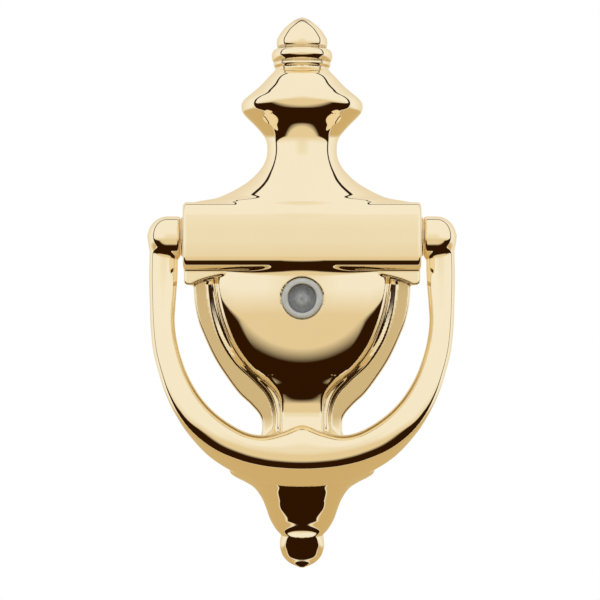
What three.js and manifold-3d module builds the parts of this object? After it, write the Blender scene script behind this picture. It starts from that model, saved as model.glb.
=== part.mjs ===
// A polished brass door knocker with a door viewer, fitted to a door 1 3/4 in thick.
// Millimetres, +Z up. The outside face of the door is the plane y = 0, and the knocker stands
// out of it towards -Y. The origin is on that plane, on the centre line, level with the hinge.

import * as THREE from "three";
import { LoftGeometry } from "three/addons/geometries/LoftGeometry.js";
import { mergeVertices } from "three/addons/utils/BufferGeometryUtils.js";
import Module from "manifold-3d";

const wasm = await Module();
wasm.setup();

// ---- Driving dimensions ---------------------------------------------------------------------

const DOOR = 44.45; // thickness of the door
const GAP = 0.3; // clearance between pieces that touch
const ROUND = 24; // sides of a round piece
const ARC = 18; // points across a half-round section of the casting
const BAIL_RING = 20; // points around a section of the bail

const BARREL_HALF = 40.3; // half length of the hinge barrel
const BARREL_TOP = 11.5;
const BARREL_BOTTOM = -11.3;
const BARREL_FRONT = 27; // how far the barrel stands off the door
const BARREL_CROWN = 0.9; // how much its front face is crowned
const BARREL_EDGE = 3.8; // radius of its long edges
const BARREL_END_EDGE = 1.6; // radius of its end edges

const SHOULDER_DEPTH = 18; // block under the ends of the barrel
const SHOULDER_BOTTOM = -16.5;
const SHOULDER_CORNER = 1.5;
const FLANGE_HALF = 37.6;
const FLANGE_THICK = 4;
const FLANGE_EDGE = 1.2;
const MOULDING_THICK = 6.4; // raised band between the flange and the bowl
const MOULDING_EDGE = 2.4;
const BOWL_POWER = 2.5; // squareness of the bowl's cross sections
const WALL = 3.8; // metal left over the hollow of the bowl
const POCKET = { inner: 12, outer: 37, depth: 7.5, half: 7 }; // lightening pockets of the barrel

const HINGE_Y = -14; // hinge axis, parallel to X at z = 0
const PIN_RADIUS = 2.5;
const PIN_INNER = 25;
const PIN_OUTER = 49.1;
const PIN_BORE_INNER = 14; // the bore is long enough for the pin to slide back for fitting
const EYE_FACE = 41.5; // inner face of the bail's eyes
const EYE_BORE_END = 49.5;
const EYE_TIP = 52.8;
const EYE_RADIUS = 7;
const WASHER = { radius: 6.75, thick: 0.7 };
const SET_SCREW = { radius: 2, x: 31, back: -7.8, tip: -11.2, socket: 1.1, socketDepth: 1.8 };

const STRIKE = { z: -74.5, radius: 4, front: -20.1, back: -12, dome: 0.5 };

const VIEWER_Z = -21.2;
const VIEWER_TUBE = 6.1; // outer radius of the viewer's tube
const VIEWER_BEZEL = 7.1; // radius of its outside rim
const VIEWER_SEAT = -23.3; // spot face in the bowl that the rim sits on
const VIEWER_BOSS = 9.6;
const VIEWER_BORE = 5.4;
const LENS = 5.1; // radius of the lenses in the outer tube
const FLANGE_IN = 11; // radius of the viewer's flange on the inside of the door
const COVER_PIVOT = 8; // height of the cover's rivet over the viewer's axis
const RIVET_RADIUS = 1.2;
const COVER_RADIUS = 5.8;

const SCREW = { radius: 2.4, upperZ: 31, lowerZ: -74.5, tip: -8, boreEnd: -8.5, head: 4.6 };
const CUP = { bore: 2.9, top: 5, rim: 7.2, height: 2.1 };

// Half-round stretches of the casting, from the top down: [half width, depth, height].
const FINIAL_SIDE = 6; // straight sides between the door and the round front
const FINIAL = [
  [[0.4, 6.4, 76.2], [3.6, 9.6, 75], [6.9, 12.8, 72], [8.7, 14.5, 68.6], [8.1, 14, 65.4]],
  [[8.1, 14, 65.4], [9.8, 15.9, 64.6], [10.5, 16.6, 62.9], [10.1, 15.8, 61.3], [9.4, 15, 60.7]],
  [[9.4, 15, 60.7], [9.9, 15.6, 60.15], [9.3, 15, 59.6]],
  [[9.3, 15, 59.6], [9.8, 15.5, 59.05], [9.1, 14.6, 58.4]],
  [
    [9.1, 14.6, 58.4], [10.4, 16.6, 56.6], [11.9, 18.2, 55.1], [14.2, 19.9, 52.6],
    [17.3, 21.6, 49.9], [19.8, 22.7, 47.8], [20.9, 22.6, 46], [20.7, 21.7, 43.7], [19.3, 20.6, 41.9],
  ],
  [
    [19.3, 20.6, 41.9], [15.6, 18.4, 38.2], [12.7, 17.1, 34.4], [12, 16.8, 30.4], [12.7, 17.2, 26.4],
    [15.4, 19, 22.3], [20.2, 21.8, 18.2], [28.1, 24.8, 14.1], [36, 26.2, 12], [38, 26.5, 10],
  ],
];

const PENDANT = [
  [
    [9, 8.8, -50], [8.2, 7.8, -56], [8.2, 7.6, -60], [9.6, 9, -64], [13.4, 13.2, -68.5],
    [18.8, 16.8, -73], [23.4, 19, -76.8], [24.6, 19.6, -78.6],
  ],
  [[24.6, 19.6, -78.6], [24.9, 19.6, -79.6], [24.3, 19.2, -81.2], [22.6, 18.4, -82.6]],
  [
    [22.6, 18.4, -82.6], [19.6, 17, -84.6], [16.6, 15.3, -87], [14, 13.1, -90.6], [12.4, 10.9, -94.4],
    [11.2, 9.3, -97.8], [9.2, 7.7, -101.3], [7.3, 6.9, -103.4],
  ],
  [
    [7.3, 6.9, -103.4], [7.5, 5.7, -106], [7.4, 4.4, -108.2], [6.6, 2.3, -110.6], [4.2, 1, -113.2],
    [0.4, 0.4, -114.6],
  ],
];

const BOWL = [
  [31, 22.6, -8], [30.5, 23.7, -13], [30, 24, -18], [28.8, 23.4, -24.5], [26.7, 22, -31.3],
  [23.4, 19.5, -38.6], [18.2, 15.9, -45.5], [12, 12, -50.6], [8.6, 9.3, -54.5], [7.6, 8, -58],
  [7.6, 7.6, -62],
];

// Outlines of the flat layers behind the bowl, right-hand side, from the top down: [x, z].
const FLANGE_OUTLINE = [
  [FLANGE_HALF, -6], [FLANGE_HALF, -18.9], [36.5, -27.1], [34.3, -33.3], [30.5, -41.5],
  [26.6, -47.7], [22, -53.9], [17.7, -58], [14.6, -61.8], [13.9, -65.5], [14.6, -70],
  [17, -74.5], [18, -82],
];
const MOULDING_OUTLINE = [
  [33.4, -8], [33, -18], [31.6, -26.6], [28.4, -35.6], [23.4, -43.4], [16.4, -50],
  [12.2, -54.8], [10.4, -60], [10, -66], [10, -75],
];

// Stations of the bail, from the right-hand eye to the bottom:
// [inner x, inner z, outer x, outer z, y of the middle, half depth, arris].
// The outer side of the lower bail is bevelled from an arris at that fraction of the half width.
const BAIL = [
  [42.6, 0, 52, 0, -13, 4.4, 1.6],
  [42.6, -12.7, 52.3, -12.7, -13.9, 4.5, 1.6],
  [43.2, -23, 52, -23, -15.5, 4.6, 1.6],
  [43.4, -29, 51.6, -31, -17, 4.6, 1.5],
  [42.6, -35.3, 50.7, -39, -18.4, 4.7, 1.3],
  [40.9, -41.6, 49, -46, -20, 4.9, 1.1],
  [38.4, -47.7, 46.6, -53.6, -21.8, 5.2, 0.95],
  [34.6, -53.9, 43, -61.2, -23.6, 5.7, 0.8],
  [30, -59, 38.2, -68.2, -25.2, 6.2, 0.66],
  [24.4, -63.2, 31.2, -75.4, -26.4, 6.6, 0.52],
  [18.4, -66.2, 22.4, -80.8, -27, 6.9, 0.44],
  [12.8, -67, 14.4, -83.8, -27.4, 7, 0.42],
  [6.4, -65.6, 7, -85, -27.5, 7, 0.42],
  [0, -63.6, 0, -85.3, -27.5, 7, 0.42],
];
const BAIL_POWER = 2.4;
const BACK_CORNER_POWER = 4.5; // squareness of the corner behind the bevel
const ARRIS_FRONT = -0.8; // where the bevel starts and ends, in half depths from the middle
const BEVEL_BACK = 0.6;
const BAIL_STEPS = 52;

// ---- Materials ------------------------------------------------------------------------------

const metal = (color, roughness) => new THREE.MeshStandardMaterial({ color, roughness, metalness: 1 });
const BRASS = metal(0xd9b878, 0.12);
const PLAIN_BRASS = metal(0xb8944f, 0.35);
const CHROME = metal(0xb9bbbd, 0.22);
const STEEL = metal(0x8f9194, 0.4);
const BLACK_STEEL = metal(0x2c2c2e, 0.5);
const GLASS = new THREE.MeshStandardMaterial({ color: 0x6d7078, roughness: 0.05, metalness: 0 });

// ---- Solids ---------------------------------------------------------------------------------

// Shape planes: a shape's x and y become these two world axes, and it is extruded along the third.
const frontPlane = new THREE.Matrix4().makeBasis(
  new THREE.Vector3(1, 0, 0), new THREE.Vector3(0, 0, 1), new THREE.Vector3(0, -1, 0));
const sidePlane = new THREE.Matrix4().makeBasis(
  new THREE.Vector3(0, -1, 0), new THREE.Vector3(0, 0, 1), new THREE.Vector3(-1, 0, 0));
const alongX = new THREE.Matrix4().makeRotationZ(-Math.PI / 2);

function signedVolume(positions, triangles) {
  const corners = [new THREE.Vector3(), new THREE.Vector3(), new THREE.Vector3()];
  let sum = 0;
  for (let i = 0; i < triangles.length; i += 3) {
    corners.forEach((corner, k) => corner.fromArray(positions, triangles[i + k] * 3));
    sum += corners[0].dot(corners[1].cross(corners[2]));
  }
  return sum / 6;
}

function solid(geometry, ...matrices) {
  const bare = new THREE.BufferGeometry().copy(geometry);
  bare.deleteAttribute("normal");
  bare.deleteAttribute("uv");
  matrices.forEach((matrix) => bare.applyMatrix4(matrix));
  const welded = mergeVertices(bare, 1e-4);
  const vertProperties = new Float32Array(welded.attributes.position.array);
  const index = welded.index.array;
  const triVerts = [];
  for (let i = 0; i < index.length; i += 3) {
    const [a, b, c] = [index[i], index[i + 1], index[i + 2]];
    if (a !== b && b !== c && c !== a) triVerts.push(a, b, c);
  }
  if (signedVolume(vertProperties, triVerts) < 0) triVerts.reverse();
  const mesh = { numProp: 3, vertProperties, triVerts: new Uint32Array(triVerts) };
  return new wasm.Manifold(new wasm.Mesh(mesh));
}

function geometryOf(manifold) {
  const mesh = manifold.getMesh();
  const geometry = new THREE.BufferGeometry();
  geometry.setAttribute("position", new THREE.BufferAttribute(new Float32Array(mesh.vertProperties), 3));
  geometry.setIndex(new THREE.BufferAttribute(new Uint32Array(mesh.triVerts), 1));
  geometry.computeVertexNormals();
  return geometry;
}

const at = (x, y, z) => new THREE.Matrix4().makeTranslation(x, y, z);
const join = (solids) => solids.reduce((whole, next) => whole.add(next));

function box(x0, x1, y0, y1, z0, z1) {
  const geometry = new THREE.BoxGeometry(x1 - x0, y1 - y0, z1 - z0);
  return solid(geometry, at((x0 + x1) / 2, (y0 + y1) / 2, (z0 + z1) / 2));
}

// A round solid about a line parallel to Y through (x, z); its profile is a list of [radius, y].
function turned(profile, x, z, sides = ROUND) {
  const points = profile.map(([radius, y]) => new THREE.Vector2(radius, y));
  return solid(new THREE.LatheGeometry(points, sides), at(x, 0, z));
}

function rod(radius, y0, y1, x, z, sides = ROUND) {
  return turned([[0, y0], [radius, y0], [radius, y1], [0, y1]], x, z, sides);
}

function ring(bore, radius, y0, y1, x, z) {
  return turned([[bore, y0], [radius, y0], [radius, y1], [bore, y1], [bore, y0]], x, z);
}

// A round solid about the hinge axis; its profile is a list of [radius, x].
function turnedOnHinge(profile) {
  const points = profile.map(([radius, x]) => new THREE.Vector2(radius, x));
  return solid(new THREE.LatheGeometry(points, ROUND), alongX, at(0, HINGE_Y, 0));
}

// ---- Back plate -----------------------------------------------------------------------------

function smoothStations(stations, steps) {
  const curve = new THREE.CatmullRomCurve3(stations.map((s) => new THREE.Vector3(...s)));
  return curve.getPoints(steps);
}

// A section of the casting at one height: a half oval on straight sides, with its back on the door.
function halfOval({ x: width, y: depth, z }, power, side) {
  const points = side > 0 ? [new THREE.Vector3(-width, 0, z)] : [];
  for (let i = 0; i <= ARC; i++) {
    const angle = Math.PI * (1 + i / ARC);
    const across = Math.sign(Math.cos(angle)) * Math.abs(Math.cos(angle)) ** (2 / power);
    const forward = Math.abs(Math.sin(angle)) ** (2 / power);
    const round = (depth - side) * (forward < 1e-6 ? 0 : forward);
    points.push(new THREE.Vector3(width * across, -side - round, z));
  }
  if (side > 0) points.push(new THREE.Vector3(width, 0, z));
  return points;
}

function halfOvalLoft(stations, power = 2, side = 0) {
  const upwards = [...stations].sort((a, b) => a.z - b.z);
  const sections = upwards.map((station) => halfOval(station, power, side));
  return solid(new LoftGeometry(sections, { capStart: true, capEnd: true }));
}

// Smooth stretches that meet in creases, as one loft.
function ornament(stretches, side = 0) {
  const stations = [];
  stretches.forEach((stretch, i) => {
    const points = smoothStations(stretch, (stretch.length - 1) * 2);
    stations.push(...(i ? points.slice(1) : points));
  });
  return halfOvalLoft(stations, 2, side);
}

function outlineShape(halfOutline, steps) {
  const curve = new THREE.SplineCurve(halfOutline.map(([x, z]) => new THREE.Vector2(x, z)));
  const right = curve.getPoints(steps);
  const left = right.map((p) => new THREE.Vector2(-p.x, p.y)).reverse();
  return new THREE.Shape([...right, ...left]);
}

// A flat layer on the door with a rounded front edge.
function layer(shape, thick, edge) {
  const bevel = { bevelThickness: edge, bevelSize: edge, bevelOffset: -edge, bevelSegments: 2 };
  const geometry = new THREE.ExtrudeGeometry(shape, { depth: thick, curveSegments: 6, ...bevel });
  return solid(geometry, frontPlane, at(0, edge, 0)).subtract(
    box(-60, 60, 0, thick, -130, 90));
}

function barrel() {
  const r = BARREL_EDGE;
  const front = BARREL_FRONT - BARREL_CROWN;
  const shape = new THREE.Shape();
  shape.moveTo(0, BARREL_BOTTOM);
  shape.lineTo(front - r, BARREL_BOTTOM);
  shape.quadraticCurveTo(front, BARREL_BOTTOM, front, BARREL_BOTTOM + r);
  shape.quadraticCurveTo(front + 2 * BARREL_CROWN, 0, front, BARREL_TOP - r);
  shape.quadraticCurveTo(front, BARREL_TOP, front - r, BARREL_TOP);
  shape.lineTo(0, BARREL_TOP);
  const e = BARREL_END_EDGE;
  const bevel = { bevelThickness: e, bevelSize: e, bevelOffset: -e, bevelSegments: 2 };
  const depth = 2 * (BARREL_HALF - e);
  const geometry = new THREE.ExtrudeGeometry(shape, { depth, curveSegments: 5, ...bevel });
  const core = box(-BARREL_HALF + e, BARREL_HALF - e, -front + r, 0, BARREL_BOTTOM, BARREL_TOP);
  return solid(geometry, at(0, 0, e - BARREL_HALF), sidePlane).add(core);
}

// The block behind the barrel, whose lower edge arches up over the bowl.
function shoulder() {
  const inner = FLANGE_HALF + 0.1;
  const shape = new THREE.Shape();
  shape.moveTo(BARREL_HALF, 0);
  shape.lineTo(BARREL_HALF, SHOULDER_BOTTOM + SHOULDER_CORNER);
  shape.quadraticCurveTo(BARREL_HALF, SHOULDER_BOTTOM, BARREL_HALF - SHOULDER_CORNER, SHOULDER_BOTTOM);
  shape.lineTo(inner, SHOULDER_BOTTOM);
  shape.quadraticCurveTo(31, -12.4, 8, BARREL_BOTTOM + 0.2);
  shape.lineTo(-8, BARREL_BOTTOM + 0.2);
  shape.quadraticCurveTo(-31, -12.4, -inner, SHOULDER_BOTTOM);
  shape.lineTo(SHOULDER_CORNER - BARREL_HALF, SHOULDER_BOTTOM);
  shape.quadraticCurveTo(-BARREL_HALF, SHOULDER_BOTTOM, -BARREL_HALF, SHOULDER_BOTTOM + SHOULDER_CORNER);
  shape.lineTo(-BARREL_HALF, 0);
  return layer(shape, SHOULDER_DEPTH, 0.8);
}

// The hollow behind the bowl, with a boss left standing around the viewer.
function bowlHollow() {
  const inside = BOWL.filter(([, , z]) => z < -16 && z > -50);
  const stations = inside.map(([width, depth, z]) => [width - WALL, depth - WALL, z]);
  const hollow = halfOvalLoft(smoothStations(stations, 8), BOWL_POWER);
  const opening = hollow.add(hollow.translate([0, 1, 0]));
  return opening.subtract(rod(VIEWER_BOSS, -30, 2, 0, VIEWER_Z));
}

function barrelPocket() {
  return box(POCKET.inner, POCKET.outer, -POCKET.depth, 1, -POCKET.half, POCKET.half);
}

function hingeBore(x0, x1) {
  return turnedOnHinge([[0, x0], [PIN_RADIUS + GAP, x0], [PIN_RADIUS + GAP, x1], [0, x1]]);
}

function setScrewHole() {
  return rod(SET_SCREW.radius + GAP, HINGE_Y, -POCKET.depth + 1, SET_SCREW.x, 0);
}

function backPlate() {
  const bowl = halfOvalLoft(smoothStations(BOWL, 20), BOWL_POWER);
  const body = join([
    layer(outlineShape(FLANGE_OUTLINE, 30), FLANGE_THICK, FLANGE_EDGE),
    layer(outlineShape(MOULDING_OUTLINE, 22), MOULDING_THICK, MOULDING_EDGE),
    bowl, ornament(PENDANT), ornament(FINIAL, FINIAL_SIDE), shoulder(), barrel(),
  ]);
  const side = [barrelPocket(), hingeBore(PIN_BORE_INNER, BARREL_HALF + 1), setScrewHole()];
  const cuts = [
    bowlHollow(), ...side, ...side.map((cut) => cut.mirror([1, 0, 0])),
    rod(VIEWER_TUBE + GAP, -40, 1, 0, VIEWER_Z),
    rod(VIEWER_BEZEL + GAP, -40, VIEWER_SEAT, 0, VIEWER_Z),
    rod(STRIKE.radius + GAP, -40, STRIKE.back + GAP, 0, STRIKE.z),
    rod(SCREW.radius + GAP, SCREW.boreEnd, 1, 0, SCREW.upperZ),
    rod(SCREW.radius + GAP, SCREW.boreEnd, 1, 0, SCREW.lowerZ),
  ];
  return cuts.reduce((metalLeft, cut) => metalLeft.subtract(cut), body);
}

// ---- Bail and hinge -------------------------------------------------------------------------

// One section of the bail: a rounded oval between the inner and the outer edge, cut by the bevel.
function bailSection(inner, outer, middleY, halfDepth, arris) {
  const middle = inner.clone().add(outer).multiplyScalar(0.5);
  const half = outer.clone().sub(inner).multiplyScalar(0.5);
  const points = [];
  for (let i = 0; i < BAIL_RING; i++) {
    const angle = (2 * Math.PI * i) / BAIL_RING;
    const [c, s] = [Math.cos(angle), -Math.sin(angle)];
    const power = c > 0 && s > 0 && arris < 1 ? BACK_CORNER_POWER : BAIL_POWER;
    const along = Math.sign(s) * Math.abs(s) ** (2 / power);
    const bevel = arris + ((1 - arris) * (along - ARRIS_FRONT)) / (BEVEL_BACK - ARRIS_FRONT);
    const across = Math.min(Math.sign(c) * Math.abs(c) ** (2 / power), Math.max(bevel, arris));
    points.push(new THREE.Vector3(
      middle.x + half.x * across, middleY + halfDepth * along, middle.y + half.y * across));
  }
  return points;
}

function bailBow() {
  const left = BAIL.slice(0, -1).map(([xi, zi, xo, zo, ...rest]) => [-xi, zi, -xo, zo, ...rest]);
  const stations = [...BAIL, ...left.reverse()];
  const curveOf = (i, j) => new THREE.SplineCurve(stations.map((s) => new THREE.Vector2(s[i], s[j])));
  const [inner, outer, depth, arris] = [curveOf(0, 1), curveOf(2, 3), curveOf(4, 5), curveOf(6, 6)];
  const sections = [];
  for (let i = 0; i <= BAIL_STEPS; i++) {
    const t = i / BAIL_STEPS;
    const { x: middleY, y: halfDepth } = depth.getPoint(t);
    sections.push(bailSection(
      inner.getPoint(t), outer.getPoint(t), middleY, halfDepth, arris.getPoint(t).x));
  }
  return solid(new LoftGeometry(sections, { capStart: true, capEnd: true }));
}

function bailEye() {
  const r = EYE_RADIUS;
  return turnedOnHinge([
    [0, EYE_FACE], [r - 0.8, EYE_FACE], [r, EYE_FACE + 1.2], [r, 47], [r - 0.6, 49.2],
    [r - 2, 51.2], [r - 4.2, 52.4], [0, EYE_TIP],
  ]);
}

function bail() {
  const eye = bailEye();
  const bore = hingeBore(EYE_FACE - 4, EYE_BORE_END);
  const whole = join([bailBow(), eye, eye.mirror([1, 0, 0])]);
  return whole.subtract(bore).subtract(bore.mirror([1, 0, 0]));
}

function hingePin() {
  const bevel = 0.4;
  return turnedOnHinge([
    [0, PIN_INNER], [PIN_RADIUS - bevel, PIN_INNER], [PIN_RADIUS, PIN_INNER + bevel],
    [PIN_RADIUS, PIN_OUTER - bevel], [PIN_RADIUS - bevel, PIN_OUTER], [0, PIN_OUTER],
  ]);
}

function hingeWasher() {
  const middle = (BARREL_HALF + EYE_FACE) / 2;
  const [x0, x1] = [middle - WASHER.thick / 2, middle + WASHER.thick / 2];
  const bore = PIN_RADIUS + GAP;
  return turnedOnHinge([[bore, x0], [WASHER.radius, x0], [WASHER.radius, x1], [bore, x1], [bore, x0]]);
}

function setScrew() {
  const { radius, x, back, tip, socket, socketDepth } = SET_SCREW;
  const cone = 0.8;
  const body = turned(
    [[0, tip], [radius - cone, tip], [radius, tip + cone], [radius, back], [0, back]], x, 0);
  return body.subtract(rod(socket, back - socketDepth, back + 1, x, 0, 6));
}

function strikeButton() {
  const { z, radius, front, back, dome } = STRIKE;
  return turned([
    [0, front], [radius / 2, front + dome / 3], [radius, front + dome], [radius, back], [0, back],
  ], 0, z);
}

// ---- Fixing screws --------------------------------------------------------------------------

function finishWasher(z) {
  const { bore, top, rim, height } = CUP;
  const crest = DOOR + height;
  return turned([
    [bore, DOOR], [rim, DOOR], [rim, DOOR + 0.5], [top + 0.5, crest], [top, crest], [bore, DOOR],
  ], 0, z);
}

function fixingScrew(z) {
  const { radius, tip, head } = SCREW;
  const neck = DOOR + CUP.bore - radius - 0.55;
  const rim = neck + head - radius;
  const crown = 1.4;
  const body = turned([
    [0, tip], [radius - 0.6, tip], [radius, tip + 0.8], [radius, neck], [head, rim],
    [head, rim + 0.3], [head * 0.7, rim + 0.3 + crown * 0.6], [0, rim + 0.3 + crown],
  ], 0, z);
  const [half, reach, floor] = [0.6, 2.4, rim + 0.2];
  const recess = box(-half, half, floor, floor + 5, z - reach, z + reach).add(
    box(-reach, reach, floor, floor + 5, z - half, z + half));
  return body.subtract(recess);
}

// ---- Door viewer ----------------------------------------------------------------------------

// Lens seats along the outer tube, from the outside in: [front, back].
const SEATS = {
  objective: [-23.1, -20.6],
  frontSpacer: [-20.3, -16.3],
  middle: [-16, -13.2],
  rearSpacer: [-12.9, -8.9],
  rear: [-8.6, -5.6],
  clampRing: [-5.3, -3.1],
  eyepieceRing: [39.6, 41.8],
  eyepiece: [42.1, 45.1],
};
const APERTURE = 4.55;
const EYE_BORE = 4.3; // bore of the inner tube
const EYE_LENS = 4;
const EYE_APERTURE = 3.4;
const FLANGE_FACE = DOOR + 2.2; // room-side face of the viewer's flange

const viewerTurned = (profile) => turned(profile, 0, VIEWER_Z);

function viewerOuterTube() {
  const rim = VIEWER_BEZEL;
  const under = VIEWER_SEAT - GAP;
  const lip = SEATS.objective[0] - GAP;
  return viewerTurned([
    [APERTURE, -25], [5.4, -25.6], [rim - 0.5, -25.4], [rim, -24.8], [rim, under],
    [VIEWER_TUBE, under], [VIEWER_TUBE, 22], [VIEWER_BORE, 22], [VIEWER_BORE, lip],
    [APERTURE, lip], [APERTURE, -25],
  ]);
}

function objectiveLens() {
  const [front, back] = SEATS.objective;
  return viewerTurned([
    [0, front - 1.4], [2.2, front - 1.1], [4.1, front - 0.3], [4.2, front], [LENS, front],
    [LENS, back], [3.6, back], [2.2, back - 1], [0, back - 1.4],
  ]);
}

function hollowLens([front, back]) {
  return viewerTurned([
    [0, front + 0.8], [2.4, front + 0.5], [3.8, front], [LENS, front],
    [LENS, back], [3.8, back], [2.4, back - 0.5], [0, back - 0.8],
  ]);
}

function eyepieceLens() {
  const [front, back] = SEATS.eyepiece;
  return viewerTurned([
    [0, front], [2.4, front + 0.3], [EYE_LENS, front + 1], [EYE_LENS, back],
    [2.6, back], [0, back + 0.6],
  ]);
}

const lensSpacer = ([front, back]) => ring(4.2, LENS, front, back, 0, VIEWER_Z);

// A threaded clamp ring with two spanner notches in its rear face.
function clampRing([front, back], bore, radius) {
  const notch = box(-radius - 1, radius + 1, back - 0.8, back + 1, VIEWER_Z - 0.6, VIEWER_Z + 0.6);
  return ring(bore, radius, front, back, 0, VIEWER_Z).subtract(notch);
}

function viewerInnerTube() {
  const start = 6;
  const body = viewerTurned([
    [EYE_APERTURE, FLANGE_FACE], [EYE_APERTURE, SEATS.eyepiece[1] + GAP],
    [EYE_BORE, SEATS.eyepiece[1] + GAP], [EYE_BORE, start], [LENS, start], [LENS, DOOR],
    [FLANGE_IN, DOOR], [FLANGE_IN, FLANGE_FACE - 0.8], [FLANGE_IN - 0.8, FLANGE_FACE],
    [EYE_APERTURE, FLANGE_FACE],
  ]);
  const notch = (side) => box(
    side * FLANGE_IN - 1.6, side * FLANGE_IN + 1.6, DOOR + 0.8, FLANGE_FACE + 1,
    VIEWER_Z - 1.5, VIEWER_Z + 1.5);
  const rivetHole = rod(RIVET_RADIUS + GAP, DOOR - 1, FLANGE_FACE + 1, 0, VIEWER_Z + COVER_PIVOT, 16);
  return body.subtract(notch(1)).subtract(notch(-1)).subtract(rivetHole);
}

const COVER_THICK = 1.2;
const COVER_EAR = { radius: 2.8, from: 0.46 }; // half-width of the ear and where its round top starts
const COVER_BACK = FLANGE_FACE + GAP;

// The swinging cover: a disc over the eyepiece with an ear up to the rivet and a finger lip below.
function viewerCover() {
  const shape = new THREE.Shape();
  const edge = Math.asin(COVER_EAR.radius / COVER_RADIUS);
  shape.absarc(0, 0, COVER_RADIUS, Math.PI / 2 + edge, Math.PI * 2.5 - edge, false);
  shape.absarc(0, COVER_PIVOT, COVER_EAR.radius, -COVER_EAR.from, Math.PI + COVER_EAR.from, false);
  const hole = new THREE.Path();
  hole.absarc(0, COVER_PIVOT, RIVET_RADIUS + GAP, 0, 2 * Math.PI, true);
  shape.holes.push(hole);
  const flat = { depth: COVER_THICK, curveSegments: 10, bevelEnabled: false };
  const plate = solid(
    new THREE.ExtrudeGeometry(shape, flat), frontPlane, at(0, COVER_BACK + COVER_THICK, VIEWER_Z));
  const lip = box(-2, 2, COVER_BACK + COVER_THICK - 0.2, COVER_BACK + 2.8,
    VIEWER_Z - COVER_RADIUS + 0.6, VIEWER_Z - COVER_RADIUS + 1.8);
  return plate.add(lip);
}

function coverRivet() {
  const z = VIEWER_Z + COVER_PIVOT;
  const under = COVER_BACK + COVER_THICK + GAP;
  return turned([
    [0, DOOR + 0.3], [RIVET_RADIUS, DOOR + 0.3], [RIVET_RADIUS, under], [2.5, under], [2.3, under + 0.5],
    [1.3, under + 0.9], [0, under + 1],
  ], 0, z, 16);
}

// ---- Assembly -------------------------------------------------------------------------------

const knocker = new THREE.Group();

function addPiece(name, manifold, material) {
  const mesh = new THREE.Mesh(geometryOf(manifold), material.clone());
  mesh.name = name;
  knocker.add(mesh);
}

function addPair(name, manifold, material) {
  addPiece(`${name}_right`, manifold, material);
  addPiece(`${name}_left`, manifold.mirror([1, 0, 0]), material);
}

addPiece("back_plate", backPlate(), BRASS);
addPiece("bail", bail(), BRASS);
addPair("hinge_pin", hingePin(), STEEL);
addPair("hinge_washer", hingeWasher(), BRASS);
addPair("hinge_set_screw", setScrew(), BLACK_STEEL);
addPiece("strike_button", strikeButton(), BRASS);
addPiece("fixing_screw_upper", fixingScrew(SCREW.upperZ), PLAIN_BRASS);
addPiece("fixing_screw_lower", fixingScrew(SCREW.lowerZ), PLAIN_BRASS);
addPiece("finish_washer_upper", finishWasher(SCREW.upperZ), PLAIN_BRASS);
addPiece("finish_washer_lower", finishWasher(SCREW.lowerZ), PLAIN_BRASS);
addPiece("viewer_outer_tube", viewerOuterTube(), CHROME);
addPiece("viewer_objective_lens", objectiveLens(), GLASS);
addPiece("viewer_front_spacer", lensSpacer(SEATS.frontSpacer), BLACK_STEEL);
addPiece("viewer_middle_lens", hollowLens(SEATS.middle), GLASS);
addPiece("viewer_rear_spacer", lensSpacer(SEATS.rearSpacer), BLACK_STEEL);
addPiece("viewer_rear_lens", hollowLens(SEATS.rear), GLASS);
addPiece("viewer_clamp_ring", clampRing(SEATS.clampRing, 3.4, LENS), BLACK_STEEL);
addPiece("viewer_inner_tube", viewerInnerTube(), CHROME);
addPiece("viewer_eyepiece_lens", eyepieceLens(), GLASS);
addPiece("viewer_eyepiece_ring", clampRing(SEATS.eyepieceRing, 2.9, EYE_LENS), BLACK_STEEL);
addPiece("viewer_cover", viewerCover(), CHROME);
addPiece("viewer_cover_rivet", coverRivet(), CHROME);

export default knocker;
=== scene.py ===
"""A polished brass door knocker with a door viewer, built around its CAD frame.

Lengths in this script are millimetres until the last step of each piece, which scales them to metres.
The castings are smooth implicit surfaces: each is a function that is negative inside the metal and
close to the distance from its surface, joined to its neighbours with the fillets of a forging.
"""

import math

import bmesh
import bpy
import numpy as np
import openvdb
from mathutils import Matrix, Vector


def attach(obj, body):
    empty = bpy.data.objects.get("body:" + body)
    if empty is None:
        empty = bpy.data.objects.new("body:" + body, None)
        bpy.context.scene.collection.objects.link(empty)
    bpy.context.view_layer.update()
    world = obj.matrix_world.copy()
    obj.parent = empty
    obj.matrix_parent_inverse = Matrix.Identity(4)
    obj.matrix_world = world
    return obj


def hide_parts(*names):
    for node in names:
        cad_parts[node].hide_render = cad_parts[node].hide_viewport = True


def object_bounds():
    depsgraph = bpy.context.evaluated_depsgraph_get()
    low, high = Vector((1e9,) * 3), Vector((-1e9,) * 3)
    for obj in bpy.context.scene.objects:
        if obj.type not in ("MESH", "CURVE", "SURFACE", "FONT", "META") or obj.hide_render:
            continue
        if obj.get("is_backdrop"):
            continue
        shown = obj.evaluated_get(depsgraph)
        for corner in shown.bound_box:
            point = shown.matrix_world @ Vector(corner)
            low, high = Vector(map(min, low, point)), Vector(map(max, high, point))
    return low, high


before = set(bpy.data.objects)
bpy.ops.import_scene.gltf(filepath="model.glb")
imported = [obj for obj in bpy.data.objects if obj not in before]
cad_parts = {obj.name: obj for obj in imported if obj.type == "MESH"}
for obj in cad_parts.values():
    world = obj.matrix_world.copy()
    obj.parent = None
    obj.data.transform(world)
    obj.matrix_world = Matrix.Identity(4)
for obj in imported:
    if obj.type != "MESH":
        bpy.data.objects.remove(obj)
cad_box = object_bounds()

MM = 0.001
FINE = 0.45  # cell of the castings' surface
SMALL = 0.22  # cell of the small pieces' surface
COARSE = 4  # fine cells in a coarse one
STEP = 0.06  # half step of the slopes that give the normals

# ---- Dimensions -----------------------------------------------------------------------------

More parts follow.
